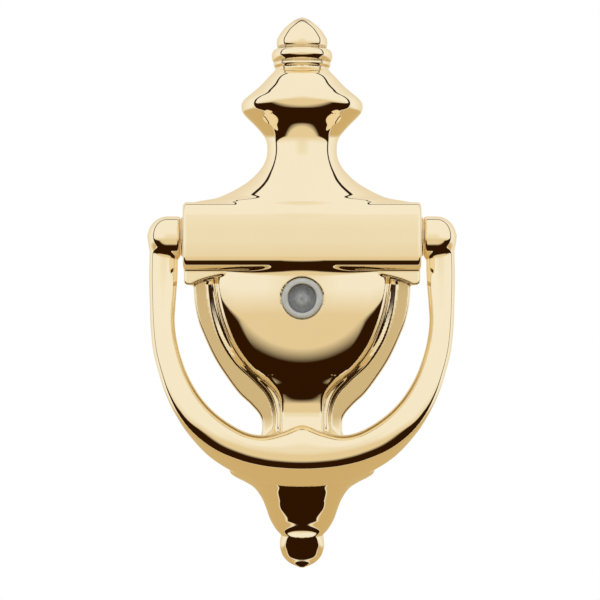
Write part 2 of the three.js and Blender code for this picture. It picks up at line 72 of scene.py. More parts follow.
DOOR = 44.45  # thickness of the door behind the plate, which lies on Y = 0
GAP = 0.3  # play on each side of the viewer's cover
HINGE_Y = -14.0
HINGE_BORE = 2.8  # radius
PLATE_BORE = (14, 42)  # distances from the middle where the plate's bores begin and end
EYE_BORE = (37.5, 49.5)
EYE_START = 41.5
EYE_RADIUS = 7.0
VIEWER_Z = -21.2
SET_SCREW_X = 31.0
SET_SCREW_HOLE = 2.3
SCREW_HEIGHTS = {"upper": 31.0, "lower": -74.5}

# Half-round stretches of the plate, from the top down: (half width, depth, height).
FINIAL_OFFSET = 6.0
FINIAL = (
    ((0.3, 6.3, 76.2), (2.9, 9.2, 75), (6.2, 12.4, 72.2), (8.5, 14.4, 68.8), (8.7, 14.5, 66.6),
     (8.1, 14, 65.4)),
    ((8.1, 14, 65.4), (9.8, 15.9, 64.6), (10.5, 16.6, 62.9), (10.1, 15.8, 61.3), (9.4, 15, 60.7)),
    ((9.4, 15, 60.7), (9.8, 15.5, 60), (9.6, 15.3, 59.3), (9, 14.7, 58.7)),
    ((9, 14.7, 58.7), (9.3, 15.1, 57.9), (10.4, 16.6, 56.6), (11.9, 18.2, 55.1), (14.2, 19.9, 52.6),
     (17.3, 21.6, 49.9), (19.8, 22.7, 47.8), (20.9, 22.6, 46), (20.7, 21.7, 43.7), (19.3, 20.6, 41.9)),
    ((19.3, 20.6, 41.9), (15.6, 18.4, 38.2), (12.7, 17.1, 34.4), (12, 16.8, 30.4), (12.7, 17.2, 26.4),
     (15.4, 19, 22.3), (20.2, 21.8, 18.2), (28.1, 24.8, 14.1), (36, 26, 12), (38, 25.6, 10),
     (38.6, 24, 4)),
)
PENDANT = (
    ((9, 6, -60), (9.6, 7.6, -64), (13.4, 12.4, -68.5), (18.8, 16.8, -73), (23.2, 19, -76.8),
     (24.8, 19.6, -79.4)),
    ((24.8, 19.6, -79.4), (25.3, 19.6, -80.6), (24.7, 19.2, -82.1), (22.8, 18.3, -83.4)),
    ((22.8, 18.3, -83.4), (19.8, 17.4, -84.9), (16.6, 16.3, -87), (14, 14.5, -90.6), (12.4, 12.6, -94.4),
     (11.2, 10.1, -97.8), (9.2, 7.4, -101.3), (7.3, 7.8, -103.4)),
    ((7.3, 7.8, -103.4), (7.7, 6.8, -105.6), (7.6, 5.7, -108), (6.6, 3.7, -110.9), (4.4, 1.8, -113.2),
     (1, 0.9, -114.8)),
)
STEM_WIDTH = ((12, -48), (8.2, -54), (7.4, -58), (7.3, -64), (7.6, -68), (10, -73))
STEM_DEPTH = ((14.6, -46), (14, -50), (12.4, -54), (10.9, -58), (10.4, -61), (11.2, -64), (13.7, -68.5),
              (16.6, -73))
BOWL_WIDTH = ((31, -8), (30.5, -13), (30, -18), (28.8, -24.5), (26.7, -31.3), (23.4, -38.6),
              (18.2, -45.5), (12, -50.6), (8.4, -54.5), (7.4, -58), (7.4, -62))
BOWL_DRAFT = 0.12  # slope of the bowl's sides
BOWL_DRAFT_START = 7.0
BOWL_FRONT = 24.0
BOWL_CENTRE = -17.0
BOWL_RADIUS = 62.0
BOWL_EDGE = 2.4
BOWL_EDGE_LEAN = 0.37
FLANGE_THICK = 4.0
FLANGE_EDGE = 1.2
MOULDING_RISE = 2.4
MOULDING_RUN = ((-50, -40), (1.7, 2.5))  # heights, and the chamfer's width there
BARREL_END = 40.3
BARREL_FRONT = 27.0
BARREL_MIDDLE = 0.1
BARREL_HALF_HEIGHT = 11.4
BARREL_CROWN = 0.9
BARREL_EDGE = 4.4
BARREL_FILLET = ((6, 26), (3.4, 0.8))  # distances from the middle, and the fillet under the barrel there
SHOULDER_DEPTH = 18.0
SHOULDER_TOP = 8.0
SHOULDER_ARCH = ((37.7, -16.5), (31, -12.4), (8, -11.1))
VIEWER_BOSS = 9.6
VIEWER_HOLE = 6.4
VIEWER_RECESS = 7.4
VIEWER_SEAT = -23.3
POCKET = ((12, -7.5, -7), (37, 9, 7))
SCREW_HOLE = 2.7
SCREW_HOLE_END = -8.5
BUTTON_HOLE = 4.3
BUTTON_SEAT = -11.7
THROUGH = -40  # in front of everything
BEHIND = 5  # behind the plate's back
HOLLOW = ((26.2, 20.2, -17.4), (26, 20, -20), (25, 19.6, -24.5), (22.9, 18.2, -31.3),
          (19.6, 15.7, -38.6), (14.4, 12.1, -45.5), (12.4, 10.6, -47))
FLANGE_OUTLINE = ((37.6, -6), (37.6, -18.9), (36.5, -27.1), (34.3, -33.3), (30.5, -41.5),
                  (26.6, -47.7), (22, -53.9), (17.7, -58), (14.6, -61.8), (13.9, -65.5), (14.6, -70),
                  (17, -74.5), (18, -82))
MOULDING_OUTLINE = ((33.4, -8), (33, -18), (31.6, -26.6), (28.4, -35.6), (23.4, -43.4), (16.4, -50),
                    (12.2, -54.8), (10.4, -60), (10, -66), (10, -75))

# Stations of the bail from the right-hand eye to the bottom and a little past it:
# (inner x, inner z, outer x, outer z, y of the middle, half depth, width of the bevel, bevelled share).
BAIL = (
    (42.6, 0, 52, 0, -13, 4.4, 0.2, 0),
    (42.6, -12.7, 52.3, -12.7, -13.9, 4.5, 0.2, 0),
    (43.2, -23, 52, -23, -15.5, 4.6, 0.2, 0),
    (43.4, -29, 51.6, -31, -17, 4.6, 0.2, 0.05),
    (42.6, -35.3, 50.7, -39, -18.4, 4.7, 0.3, 0.2),
    (40.9, -41.6, 49, -46, -20, 4.9, 0.5, 0.45),
    (38.4, -47.7, 46.6, -53.6, -21.8, 5.2, 0.7, 0.75),
    (34.6, -53.9, 43, -61.2, -23.6, 5.7, 1.1, 0.95),
    (30, -59, 38.2, -68.2, -25.2, 6.2, 1.9, 1),
    (24.4, -63.2, 31.2, -75.4, -26.4, 6.6, 3.5, 1),
    (18.4, -66.2, 22.4, -80.8, -27, 6.9, 5, 1),
    (12.8, -67, 14.4, -83.8, -27.4, 7, 6, 1),
    (6.4, -65.6, 7, -85, -27.5, 7, 6.3, 1),
    (0, -63.6, 0, -85.4, -27.5, 7, 6.4, 1),
    (-6.4, -65.6, -7, -85, -27.5, 7, 6.3, 1),
    (-12.8, -67, -14.4, -83.8, -27.4, 7, 6, 1),
)
BAIL_POWER = 2.4
CREST = 0.4  # place of the foremost line across the bevelled part, from the inner edge
ARRIS_SINE = 0.735  # how far the round front has turned where the bevel cuts it
ARRIS_COSINE = math.sqrt(1 - ARRIS_SINE**2)
ROUND_FRONT = 6.7  # least width of the round front between the crest and the bevel
BEVEL_LIFT = 1.5  # how far in front of the back the bevel meets the rim

# ---- Smooth curves and implicit solids ------------------------------------------------------


def spline(points, per_span=80):
    """Points of a smooth curve through the given ones."""
    p = np.array(points, float)
    p = np.vstack([2 * p[0] - p[1], p, 2 * p[-1] - p[-2]])
    t = np.linspace(0, 1, per_span, endpoint=False)[:, None]
    parts = []
    for a, b, c, d in zip(p[:-3], p[1:-2], p[2:-1], p[3:]):
        cubic = (3 * b - a - 3 * c + d) * t**3
        square = (2 * a - 5 * b + 4 * c - d) * t**2
        parts.append(0.5 * (2 * b + (c - a) * t + square + cubic))
    parts.append(p[-2:-1])
    return np.vstack(parts)


def against_height(*stretches):
    """Each value of the curve, and its slope, as a function of the last value, the height."""
    samples = np.vstack([spline(stretch) for stretch in stretches])
    samples = samples[np.argsort(samples[:, -1], kind="stable")]
    heights = samples[:, -1] + np.arange(len(samples)) * 1e-9
    tables = [(samples[:, i], np.gradient(samples[:, i], heights)) for i in range(samples.shape[1] - 1)]

    def look_up(z):
        found = []
        for values, slopes in tables:
            found += [np.interp(z, heights, values), np.interp(z, heights, np.clip(slopes, -8, 8))]
        return found

    look_up.low, look_up.high = heights[0], heights[-1]
    return look_up


def smooth_min(a, b, k):
    h = np.maximum(k - np.abs(a - b), 0.0) / k
    return np.minimum(a, b) - h * h * k * 0.25


def smooth_max(a, b, k):
    return -smooth_min(-a, -b, k)


def rounded_corner(radius, *sides):
    """The inside of all sides at once, with their shared edges rounded."""
    inner = [side + radius for side in sides]
    outside = np.sqrt(sum(np.maximum(s, 0.0) ** 2 for s in inner))
    deepest = inner[0]
    for s in inner[1:]:
        deepest = np.maximum(deepest, s)
    return outside + np.minimum(deepest, 0.0) - radius


def half_round(profile, x, y, z, power=2.0, offset=0.0):
    """An oval column whose half width and depth follow the profile, on straight sides of the offset."""
    w, dw, d, dd = profile(z)
    d = d - offset
    ax, ay = np.abs(x) + 1e-6, np.maximum(np.abs(y) - offset, 0) + 1e-6
    a, b = (ax / w) ** power, (ay / d) ** power
    total = a + b
    r = total ** (1 / power)
    k = r / total
    slope = np.sqrt((k * a / ax) ** 2 + (k * b / ay) ** 2 + (k * (a * dw / w + b * dd / d)) ** 2)
    side = (r - 1) / slope
    return np.maximum(side, np.maximum(z - profile.high, profile.low - z))


def inside_outline(profile, x, z):
    width, slope = profile(z)
    return (np.abs(x) - width) / np.sqrt(1 + slope**2)


def box_field(x, y, z, low, high, radius):
    sides = []
    for value, a, b in zip((x, y, z), low, high):
        sides.append(np.abs(value - (a + b) / 2) - (b - a) / 2)
    return rounded_corner(radius, *sides)


def round_y(x, y, z, radius, y0, y1, height, edge=0.15):
    """A round bar along Y."""
    side = np.sqrt(x**2 + (z - height) ** 2) - radius
    return rounded_corner(edge, side, np.abs(y - (y0 + y1) / 2) - (y1 - y0) / 2)


def hinge_distance(y, z):
    return np.sqrt((y - HINGE_Y) ** 2 + z**2)


def hinge_bore(x, y, z, start, end):
    """The hole for the pin between two distances from the middle."""
    length = np.abs(x - (start + end) / 2) - (end - start) / 2
    return rounded_corner(0.1, hinge_distance(y, z) - HINGE_BORE, length)


# ---- Surfaces from fields -------------------------------------------------------------------


def gradient(field, p):
    out = np.empty_like(p)
    for i in range(3):
        step = np.zeros(3)
        step[i] = STEP
        out[:, i] = (field(*(p + step).T) - field(*(p - step).T)) / (2 * STEP)
    return out


def sample(field, axes):
    grid = np.stack(np.meshgrid(*axes, indexing="ij"), -1).reshape(-1, 3)
    return field(*grid.T).reshape([len(a) for a in axes])


def surface(field, low, high, cell):
    """Points, quads and normals of the field's zero surface inside a box."""
    blocks = [int(math.ceil((b - a + 4 * cell) / (cell * COARSE))) for a, b in zip(low, high)]
    starts = [a - 2 * cell for a in low]
    middles = [a + (np.arange(n) + 0.5) * cell * COARSE for a, n in zip(starts, blocks)]
    coarse = sample(field, middles)
    values = coarse.astype(np.float32)
    for axis in range(3):
        values = np.repeat(values, COARSE, axis=axis)
    near = np.abs(values) < cell * COARSE * 1.6
    index = np.argwhere(near)
    places = (index + 0.5) * cell + np.array(starts)
    for start in range(0, len(index), 400000):
        part = slice(start, start + 400000)
        values[tuple(index[part].T)] = field(*places[part].T)
    grid = openvdb.FloatGrid(background=float(cell * 3))
    grid.copyFromArray(np.clip(values, -cell * 3, cell * 3).astype(np.float32))
    points, quads = grid.convertToQuads(isovalue=0.0)
    p = (points.astype(float) + 0.5) * cell + np.array(starts)
    for _ in range(3):
        g = gradient(field, p)
        size = np.maximum((g**2).sum(1), 0.05)
        move = g * (field(*p.T) / size)[:, None]
        length = np.sqrt((move**2).sum(1))[:, None]
        p -= move * np.minimum(1.0, 0.5 * cell / np.maximum(length, 1e-9))
    n = gradient(field, p)
    n /= np.maximum(np.sqrt((n**2).sum(1)), 1e-9)[:, None]
    a, b, c = p[quads[:, 0]], p[quads[:, 1]], p[quads[:, 2]]
    if (np.cross(b - a, c - a) * n[quads[:, 0]]).sum() < 0:
        quads = quads[:, ::-1]
    return p, quads, n


def mesh_object(name, points, quads, normals, masks=None):
    mesh = bpy.data.meshes.new(name)
    mesh.vertices.add(len(points))
    mesh.vertices.foreach_set("co", (points * MM).astype(np.float32).ravel())
    mesh.loops.add(len(quads) * 4)
    mesh.loops.foreach_set("vertex_index", quads.astype(np.int32).ravel())
    mesh.polygons.add(len(quads))
    mesh.polygons.foreach_set("loop_start", np.arange(len(quads), dtype=np.int32) * 4)
    mesh.update(calc_edges=True)
    mesh.polygons.foreach_set("use_smooth", np.ones(len(quads), bool))
    mesh.validate()
    mesh.normals_split_custom_set_from_vertices(normals.astype(np.float32))
    for key, values in (masks or {}).items():
        layer = mesh.attributes.new(key, "FLOAT", "POINT")
        layer.data.foreach_set("value", values.astype(np.float32))
    obj = bpy.data.objects.new(name, mesh)
    bpy.context.scene.collection.objects.link(obj)
    return obj


def add_piece(name, node, body, material, obj):
    obj.data.materials.append(material)
    obj.name = name
    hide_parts(node)
    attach(obj, body)
    return obj


def hollowness(field, points, normals, reach=1.6):
    """0 on open surfaces and 1 deep in a hollow, where the brass darkens with tarnish and painted shade.
    """
    ahead = field(*(points + normals * reach).T)
    return np.clip(1 - ahead / reach, 0, 1)


# ---- Back plate -----------------------------------------------------------------------------

finial_profile = against_height(*FINIAL)
pendant_profile = against_height(*PENDANT)
hollow_profile = against_height(HOLLOW)
bowl_width = against_height(BOWL_WIDTH)
stem_width = against_height(STEM_WIDTH)
stem_depth = against_height(STEM_DEPTH)
flange_outline = against_height(FLANGE_OUTLINE)
moulding_outline = against_height(MOULDING_OUTLINE)


def layer_field(outline, x, y, z, thick, edge):
    side = inside_outline(outline, x, z)
    front = -y - thick
    return np.maximum(rounded_corner(edge, side, front), np.maximum(z - outline.high, outline.low - z))


def moulding_field(x, y, z):
    """A chamfer that rises from the flange to a narrow flat."""
    side = inside_outline(moulding_outline, x, z)
    above = -y - FLANGE_THICK
    run = np.interp(z, *MOULDING_RUN)
    chamfer = (side * MOULDING_RISE + above * run) / np.hypot(run, MOULDING_RISE)
    whole = smooth_max(smooth_max(chamfer, above - MOULDING_RISE, 0.5), side, 0.3)
    return np.maximum(whole, np.maximum(z - moulding_outline.high, moulding_outline.low - z))


def bowl_field(x, y, z):
    ball = np.sqrt(x**2 + (y - BOWL_RADIUS + BOWL_FRONT) ** 2 + (z - BOWL_CENTRE) ** 2) - BOWL_RADIUS
    draft = BOWL_DRAFT * np.maximum(-y - BOWL_DRAFT_START, 0)
    side = inside_outline(bowl_width, x, z) + draft
    shoulder = (ball + BOWL_EDGE_LEAN * (side + BOWL_EDGE)) / 1.25
    whole = smooth_max(smooth_max(ball, shoulder, 0.8), side, 0.8)
    return np.maximum(whole, np.maximum(z - bowl_width.high, bowl_width.low - z))


def stem_field(x, y, z):
    depth, slope = stem_depth(z)
    front = (-y - depth) / np.sqrt(1 + slope**2)
    whole = rounded_corner(1.4, inside_outline(stem_width, x, z), front)
    return np.maximum(whole, np.maximum(z - stem_width.high, stem_width.low - z))


def barrel_field(x, y, z):
    crown = BARREL_CROWN * ((z - BARREL_MIDDLE) / BARREL_HALF_HEIGHT) ** 2
    height = np.abs(z - BARREL_MIDDLE) - BARREL_HALF_HEIGHT
    long_edges = rounded_corner(BARREL_EDGE, -y - BARREL_FRONT + crown, height)
    return rounded_corner(1.3, long_edges, np.abs(x) - BARREL_END)


def arch_height(x):
    """Height of the arch under the shoulder, a curve drawn towards the middle one of its points."""
    t = np.linspace(0, 1, 200)[:, None]
    outer, middle, inner = np.array(SHOULDER_ARCH, float)
    curve = outer * (1 - t) ** 2 + 2 * middle * t * (1 - t) + inner * t**2
    return np.interp(np.abs(x), curve[::-1, 0], curve[::-1, 1])


def shoulder_field(x, y, z):
    """The block that carries the barrel, arched over the bowl."""
    under = (arch_height(x) - z) * 0.9
    corner = rounded_corner(1.5, np.abs(x) - BARREL_END, under)
    return np.maximum(rounded_corner(0.9, corner, -y - SHOULDER_DEPTH), z - SHOULDER_TOP)


def front_field(x, y, z):
    """The plate before anything is cut out of it."""
    flange = layer_field(flange_outline, x, y, z, FLANGE_THICK, FLANGE_EDGE)
    low = smooth_min(flange, moulding_field(x, y, z), 0.6)
    low = smooth_min(low, bowl_field(x, y, z), 1.0)
    low = smooth_min(low, stem_field(x, y, z), 1.5)
    low = smooth_min(low, half_round(pendant_profile, x, y, z), 1.5)
    finial = half_round(finial_profile, x, y, z, 2.0, FINIAL_OFFSET)
    high = smooth_min(finial, barrel_field(x, y, z), 2.4)
    fillet = np.interp(np.abs(x), *BARREL_FILLET)
    whole = smooth_min(high, smooth_min(low, shoulder_field(x, y, z), 0.7), fillet)
    return smooth_max(whole, y, 0.3)


def back_cuts(x, y, z):
    """Everything that is cut out of the plate."""
    side = np.abs(x)
    hollow = half_round(hollow_profile, x, y, z, 2.5)
    boss = np.sqrt(x**2 + (z - VIEWER_Z) ** 2) - VIEWER_BOSS
    cuts = smooth_max(hollow, -boss, 2.0)
    cuts = np.minimum(cuts, box_field(side, y, z, *POCKET, 1.5))
    cuts = np.minimum(cuts, hinge_bore(side, y, z, *PLATE_BORE))
    cuts = np.minimum(cuts, round_y(side - SET_SCREW_X, y, z, SET_SCREW_HOLE, HINGE_Y, 2, 0))
    cuts = np.minimum(cuts, round_y(x, y, z, VIEWER_HOLE, THROUGH, BEHIND, VIEWER_Z))
    cuts = np.minimum(cuts, round_y(x, y, z, VIEWER_RECESS, THROUGH, VIEWER_SEAT, VIEWER_Z))
    cuts = np.minimum(cuts, round_y(x, y, z, BUTTON_HOLE, THROUGH, BUTTON_SEAT, SCREW_HEIGHTS["lower"]))
    for height in SCREW_HEIGHTS.values():
        cuts = np.minimum(cuts, round_y(x, y, z, SCREW_HOLE, SCREW_HOLE_END, BEHIND, height))
    return cuts


def plate_field(x, y, z):
    return smooth_max(front_field(x, y, z), -back_cuts(x, y, z), 0.35)


def build_plate():
    points, quads, normals = surface(plate_field, (-41, -28, -115), (41, 0.5, 77), FINE)
    raw = np.clip(-front_field(*points.T) / 0.4, 0, 1)
    raw = np.maximum(raw, (points[:, 1] > -0.15).astype(float))
    height = points[:, 2]
    ledge = np.clip(1 - np.abs(points[:, 1] + FLANGE_THICK) / 0.3, 0, 1) * (normals[:, 1] < -0.95)
    satin = ledge * np.clip((-12 - height) / 2, 0, 1) * np.clip((height + 66) / 4, 0, 1)
    masks = {"crevice_tarnish_and_shade": hollowness(plate_field, points, normals), "raw": raw, "satin": satin}
    return mesh_object("plate_casting", points, quads, normals, masks)


# ---- Bail -----------------------------------------------------------------------------------

bail_curve = spline(BAIL, 60)
BAIL_T = np.arange(len(bail_curve), dtype=float)
BAIL_MIDDLE = (bail_curve[:, 0:2] + bail_curve[:, 2:4]) / 2
BAIL_COARSE = BAIL_MIDDLE[::12]


def along_bail(values, t):
    return np.interp(t, BAIL_T, values)


def off_line(x, z, t):
    """Which side of the section line at t the point is on."""
    xi, zi, xo, zo = (along_bail(bail_curve[:, i], t) for i in range(4))
    return (x - xi) * (zo - zi) - (z - zi) * (xo - xi)


def bail_station(x, z):
    """The place along the bail whose section holds each point."""
    nearest = np.empty(len(x))
    for start in range(0, len(x), 20000):
        part = slice(start, start + 20000)
        gap = (x[part, None] - BAIL_COARSE[:, 0]) ** 2 + (z[part, None] - BAIL_COARSE[:, 1]) ** 2
        nearest[part] = gap.argmin(1) * 12.0
    low = np.maximum(nearest - 40, 0)
    high = np.minimum(nearest + 40, BAIL_T[-1])
    side = off_line(x, z, low)
    for _ in range(16):
        middle = (low + high) / 2
        same = off_line(x, z, middle) * side > 0
        low = np.where(same, middle, low)
        high = np.where(same, high, middle)
    return (low + high) / 2


def oval_field(u, v, a, b, power):
    """A superellipse of half axes a and b, in units of those axes."""
    au, av = np.abs(u) + 1e-6, np.abs(v) + 1e-6
    pu, pv = au**power, av**power
    total = pu + pv
    r = total ** (1 / power)
    k = r / total
    return (r - 1) / np.sqrt((k * pu / au / a) ** 2 + (k * pv / av / b) ** 2)


def bevelled_field(q, y, width, bevel, front, back):
    """A round front that ends at an arris, and a flat bevel from there back to the rim.

    The inner edge is a half oval up to the crest. Past the arris the front's arc goes on straight,
    so that only the bevel bounds the metal there.
    """
    crest = np.minimum(CREST * width, width - bevel - ROUND_FRONT)
    radius = (width - bevel - crest) / ARRIS_SINE
    arris_y = front + radius * (1 - ARRIS_COSINE)
    beside, behind = q - width + bevel, y - arris_y
    inner = oval_field((q - crest) / crest, (y - (front + back) / 2) / ((back - front) / 2), crest,
                       (back - front) / 2, BAIL_POWER)
    past = beside * ARRIS_COSINE + behind * ARRIS_SINE
    flat = beside * ARRIS_SINE - behind * ARRIS_COSINE
    arc = np.where(past > 0, flat, np.hypot(q - crest, y - front - radius) - radius)
    rise = back - BEVEL_LIFT - arris_y
    slope = (beside * rise - behind * bevel) / np.hypot(bevel, rise)
    outer = smooth_max(smooth_max(arc, slope, 0.6), q - width, 1.4)
    outer = smooth_max(outer, y - back, 2.5)
    return np.where(q < crest, inner, outer)


def bow_field(x, y, z):
    t = bail_station(x, z)
    xi, zi, xo, zo, yc, b, bevel, share = (along_bail(bail_curve[:, i], t) for i in range(8))
    width = np.hypot(xo - xi, zo - zi)
    q = ((x - xi) * (xo - xi) + (z - zi) * (zo - zi)) / width
    oval = oval_field((q - width / 2) / width * 2, (y - yc) / b, width / 2, b, BAIL_POWER)
    bevelled = bevelled_field(q, y, width, bevel, yc - b, yc + b)
    share = np.clip(share, 0, 1)
    return np.maximum(oval * (1 - share) + bevelled * share, z)


def eye_field(x, y, z):
    """A boss round the hinge axis with a domed outer end."""
    past = np.maximum(x - 46, 0) * EYE_RADIUS / 6.8
    dome = np.sqrt(past**2 + hinge_distance(y, z) ** 2) - EYE_RADIUS
    return rounded_corner(1.2, dome, EYE_START - x)


def bail_field(x, y, z):
    x = np.abs(x)
    whole = smooth_min(bow_field(x, y, z), eye_field(x, y, z), 1.6)
    return smooth_max(whole, -hinge_bore(x, y, z, *EYE_BORE), 0.3)


def build_bail():
    points, quads, normals = surface(bail_field, (-54, -36, -87), (54, -6, 9), FINE)
    masks = {"crevice_tarnish_and_shade": hollowness(bail_field, points, normals), "raw": np.zeros(len(points))}
    return mesh_object("bail_casting", points, quads, normals, masks)


# ---- Turned pieces --------------------------------------------------------------------------

SEGMENTS = 96
SHARP = math.radians(32)


def softened(points, size=0.15):
    """The profile with its corners cut by small chamfers."""
    p = np.array(points, float)
    closed = np.allclose(p[0], p[-1])
    out = [] if closed else [p[0]]
    corners = range(0, len(p) - 1) if closed else range(1, len(p) - 1)
    for i in corners:
        before, here, after = p[i - 1 if i else -2], p[i], p[i + 1]
        for other in (before, after):
            length = np.hypot(*(other - here))
            out.append(here + (other - here) * min(size / length, 0.4))
    out.append(out[0] if closed else p[-1])
    return np.array(out)


def divided(points, spacing):
    """The profile with no stretch longer than the spacing."""
    out = [points[:1]]
    for a, b in zip(points[:-1], points[1:]):
        steps = max(1, int(math.ceil(np.hypot(*(b - a)) / spacing)))
        out.append(a + (b - a) * (np.arange(1, steps + 1) / steps)[:, None])
    return np.vstack(out)


def lathe(name, points, centre=(0, 0), along_x=False, relief=None, spacing=1.0, soft=0.15):
    """A turned piece: (radius, place along the axis) profile, with relief cut into it if asked."""
    profile = divided(softened(points, soft), spacing)
    angles = 2 * np.pi * np.arange(SEGMENTS) / SEGMENTS
    radius, along = np.broadcast_arrays(profile[:, :1], profile[:, 1:])
    radius, along, angle = np.broadcast_arrays(radius, along, angles[None, :])
    if relief:
        radius = radius - relief(radius, along, angle)
    a, b = radius * np.cos(angle), radius * np.sin(angle)
    axes = (along, centre[0] + a, centre[1] + b) if along_x else (centre[0] + a, along, centre[1] + b)
    vertices = np.stack(axes, -1).reshape(-1, 3) * MM
    i, j = np.meshgrid(np.arange(len(profile) - 1), np.arange(SEGMENTS), indexing="ij")
    following = (j + 1) % SEGMENTS
    corners = (i * SEGMENTS + j, (i + 1) * SEGMENTS + j, (i + 1) * SEGMENTS + following,
               i * SEGMENTS + following)
    quads = np.stack(corners, -1).reshape(-1, 4)
    mesh = bpy.data.meshes.new(name)
    mesh.from_pydata(vertices.tolist(), [], quads.tolist())
    work = bmesh.new()
    work.from_mesh(mesh)
    bmesh.ops.remove_doubles(work, verts=work.verts, dist=1e-7)
    bmesh.ops.recalc_face_normals(work, faces=work.faces)
    work.to_mesh(mesh)
    work.free()
    mesh.polygons.foreach_set("use_smooth", np.ones(len(mesh.polygons), bool))
    mesh.set_sharp_from_angle(angle=SHARP)
    obj = bpy.data.objects.new(name, mesh)
    bpy.context.scene.collection.objects.link(obj)
    return obj


def thread(outer, start, end, pitch=0.8, depth=0.45):
    """Relief of a screw thread on the outside of a shaft."""

    def relief(radius, along, angle):
        turn = (along / pitch + angle / (2 * np.pi)) % 1.0
        groove = np.abs(turn * 2 - 1)
        ends = np.clip((along - start) / pitch, 0, 1) * np.clip((end - along) / pitch, 0, 1)
        return np.where(radius > outer - 0.05, groove * ends * depth, 0.0)

    return relief


def knurl(outer, start, end, teeth=48, depth=0.12):
    """Relief of straight knurling round an edge."""

    def relief(radius, along, angle):
        within = (radius > outer - 0.05) & (along > start) & (along < end)
        return np.where(within, (0.5 + 0.5 * np.cos(angle * teeth)) * depth, 0.0)

    return relief


def field_piece(name, field, low, high, cell=SMALL):
    points, quads, normals = surface(field, low, high, cell)
    return mesh_object(name, points, quads, normals)


# ---- Hinge and strike button ----------------------------------------------------------------


def hinge_pin(name, side):
    radius, chamfer, inner, outer = 2.5, 0.4, 25, 49.1
    points = ((0, inner), (radius - chamfer, inner), (radius, inner + chamfer),
              (radius, outer - chamfer), (radius - chamfer, outer), (0, outer))
    return lathe(name, [(r, side * x) for r, x in points], (HINGE_Y, 0), along_x=True)


def hinge_washer(name, side):
    rim, x0, x1 = 6.75, 40.55, 41.25
    points = ((HINGE_BORE, x0), (rim, x0), (rim, x1), (HINGE_BORE, x1), (HINGE_BORE, x0))
    return lathe(name, [(r, side * x) for r, x in points], (HINGE_Y, 0), along_x=True, soft=0.2)


def set_screw_field(side):
    radius, back, tip, socket, cone = 2.0, -7.8, -11.2, 1.1, 0.8

    def field(x, y, z):
        x = x - side * SET_SCREW_X
        distance = np.hypot(x, z)
        turn = (y / 0.8 + np.arctan2(z, x) / (2 * np.pi)) % 1.0
        shaft = distance - radius + 0.22 * np.abs(turn * 2 - 1)
        point = (distance - radius + cone + tip - y) / math.sqrt(2)
        body = rounded_corner(0.15, np.maximum(shaft, point), y - back, tip - y)
        flats = np.maximum(np.abs(x), np.abs(x) / 2 + np.abs(z) * math.sqrt(3) / 2) - socket
        return smooth_max(body, -np.maximum(flats, back - 1.8 - y), 0.1)

    return field


def strike_button(name):
    height, radius, front, back, dome = SCREW_HEIGHTS["lower"], 4.0, -20.1, -12.0, 0.5
    points = [(radius * t, front + dome * t * t) for t in np.linspace(0, 1, 9)]
    return lathe(name, [*points, (radius, back), (0, back)], (0, height), soft=0.12)


# ---- Fixing screws --------------------------------------------------------------------------

SCREW = {"radius": 2.4, "tip": -8.0, "head": 4.6, "neck": DOOR - 0.05, "crown": 1.4}
SCREW_RIM = SCREW["neck"] + SCREW["head"] - SCREW["radius"]


def screw_shaft(name, height):
    radius, tip, end = SCREW["radius"], SCREW["tip"], SCREW["neck"]
    points = ((0, tip), (radius - 0.6, tip), (radius, tip + 0.8), (radius, end), (0, end))
    return lathe(name, points, (0, height), relief=thread(radius, tip + 0.6, 34), spacing=0.13)


def screw_head_field(height):
    head, rim, crown = SCREW["head"], SCREW_RIM, SCREW["crown"]
    ball = (head**2 + crown**2) / (2 * crown)

    def field(x, y, z):
        z = z - height
        distance = np.hypot(x, z)
        under = (distance - head + rim - y) / math.sqrt(2)
        top = np.sqrt(distance**2 + (y - rim - 0.3 - crown + ball) ** 2) - ball
        body = rounded_corner(0.2, np.maximum(under, SCREW["neck"] - y), distance - head, top)
        slot_z = np.maximum(np.abs(x) - 0.6, np.abs(z) - 2.4)
        slot_x = np.maximum(np.abs(z) - 0.6, np.abs(x) - 2.4)
        depth = rim + 0.2 + np.maximum(distance - 0.8, 0) * 0.4 - y
        recess = rounded_corner(0.12, np.minimum(slot_x, slot_z), depth)
        return smooth_max(body, -recess, 0.15)

    return field


def finish_washer(name, height):
    bore, top, rim, crest = 2.9, 5.0, 7.2, DOOR + 2.1
    points = ((bore, DOOR), (rim, DOOR), (rim, DOOR + 0.5), (6.5, DOOR + 1.2), (top + 0.6, crest),
              (top, crest), (bore, DOOR))
    return lathe(name, points, (0, height), soft=0.25)


# ---- Door viewer ----------------------------------------------------------------------------

FLANGE_FACE = DOOR + 2.2
VIEWER = (0, VIEWER_Z)


def viewer_outer_tube(name):
    aperture, seat, end, bore, tube, rim = 4.55, -23.6, 22, 5.4, 6.1, 7.1
    points = ((aperture, -25), (5.0, -25.45), (5.4, -25.6), (6.0, -25.6), (rim - 0.4, -25.4),
              (rim, -24.9), (rim, seat), (tube, seat), (tube, end), (bore, end), (bore, -23.4),
              (aperture, -23.4), (aperture, -25))
    cut, teeth = thread(tube, -10, end, 1.0, 0.35), knurl(rim, -24.8, seat, 60)
    return lathe(name, points, VIEWER, spacing=0.16, soft=0.12,
                 relief=lambda r, s, a: np.where(r > rim - 0.05, teeth(r, s, a), cut(r, s, a)))


def viewer_inner_barrel(name):
    bore, tube, start, end = 4.3, 5.1, 6, DOOR + 0.5
    points = ((bore, end), (bore, start), (tube, start), (tube, end), (bore, end))
    return lathe(name, points, VIEWER, relief=thread(tube, start, 30, 1.0, 0.3), spacing=0.16, soft=0.12)


